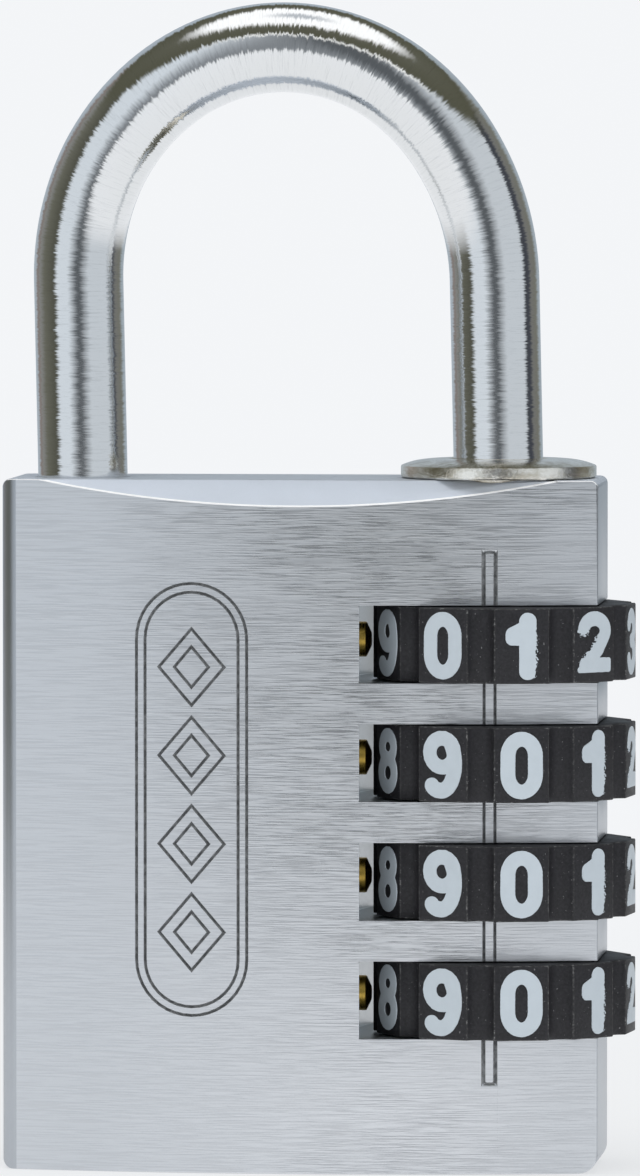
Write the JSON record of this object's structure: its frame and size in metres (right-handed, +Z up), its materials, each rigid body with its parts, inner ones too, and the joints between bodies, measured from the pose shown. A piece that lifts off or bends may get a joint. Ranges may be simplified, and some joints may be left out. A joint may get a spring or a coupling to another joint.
{
  "type": "combination padlock",
  "caption": "Combination padlock with dial wheels on one side, a round steel shackle with a guide ring, and a bulged rectangular body.",
  "frame": {"origin": "centre of the flat bottom face of the lock body", "axes": "+X from the short shackle leg towards the dial wheels, +Y towards the back face, +Z up along the shackle legs"},
  "size_m": [0.0422, 0.0176, 0.078],
  "materials": {
    "brushed_body": "fine brushed",
    "nickel_ring": "bright nickel plate",
    "chrome_shackle": "polished plate over steel",
    "clutch_steel": "machined",
    "spring_steel": "drawn wire",
    "wheel_plastic": "matte moulded",
    "detent_brass": "turned"
  },
  "bodies": {
    "root": {"lock_body": "brushed_body", "base_plug": "brushed_body", "guide_ring": "nickel_ring", "thrust_washer": "clutch_steel", "clutch_spring": "spring_steel", "detent_spring_1": "spring_steel", "detent_spring_2": "spring_steel", "detent_spring_3": "spring_steel", "detent_spring_4": "spring_steel"},
    "shackle": {"shackle": "chrome_shackle"},
    "wheel_1": {"dial_wheel_1": "wheel_plastic", "clutch_sleeve_1": "clutch_steel"},
    "wheel_2": {"dial_wheel_2": "wheel_plastic", "clutch_sleeve_2": "clutch_steel"},
    "wheel_3": {"dial_wheel_3": "wheel_plastic", "clutch_sleeve_3": "clutch_steel"},
    "wheel_4": {"dial_wheel_4": "wheel_plastic", "clutch_sleeve_4": "clutch_steel"},
    "detent_1": {"detent_pin_1": "detent_brass"},
    "detent_2": {"detent_pin_2": "detent_brass"},
    "detent_3": {"detent_pin_3": "detent_brass"},
    "detent_4": {"detent_pin_4": "detent_brass"}
  },
  "joints": [
    {"name": "shackle_lift", "type": "slide", "parent": "root", "child": "shackle", "axis": [0, 0, 1], "range_m": [0, 0.00791]},
    {"name": "wheel_1_turn", "type": "hinge", "parent": "root", "child": "wheel_1", "pos_m": [0.0134, 0, 0.03536], "axis": [0, 0, 1], "continuous": true},
    {"name": "wheel_2_turn", "type": "hinge", "parent": "root", "child": "wheel_2", "pos_m": [0.0134, 0, 0.02745], "axis": [0, 0, 1], "continuous": true},
    {"name": "wheel_3_turn", "type": "hinge", "parent": "root", "child": "wheel_3", "pos_m": [0.0134, 0, 0.01954], "axis": [0, 0, 1], "continuous": true},
    {"name": "wheel_4_turn", "type": "hinge", "parent": "root", "child": "wheel_4", "pos_m": [0.0134, 0, 0.01163], "axis": [0, 0, 1], "continuous": true},
    {"name": "detent_pin_1_slide", "type": "slide", "parent": "root", "child": "detent_1", "axis": [1, 0, 0], "range_m": [0, 0.0002], "stiffness_N_per_m": 20, "springref_m": 0.00018, "deforming": ["detent_spring_1"]},
    {"name": "detent_pin_2_slide", "type": "slide", "parent": "root", "child": "detent_2", "axis": [1, 0, 0], "range_m": [0, 0.0002], "stiffness_N_per_m": 20, "springref_m": 0.00018, "deforming": ["detent_spring_2"]},
    {"name": "detent_pin_3_slide", "type": "slide", "parent": "root", "child": "detent_3", "axis": [1, 0, 0], "range_m": [0, 0.0002], "stiffness_N_per_m": 20, "springref_m": 0.00018, "deforming": ["detent_spring_3"]},
    {"name": "detent_pin_4_slide", "type": "slide", "parent": "root", "child": "detent_4", "axis": [1, 0, 0], "range_m": [0, 0.0002], "stiffness_N_per_m": 20, "springref_m": 0.00018, "deforming": ["detent_spring_4"]}
  ]
}
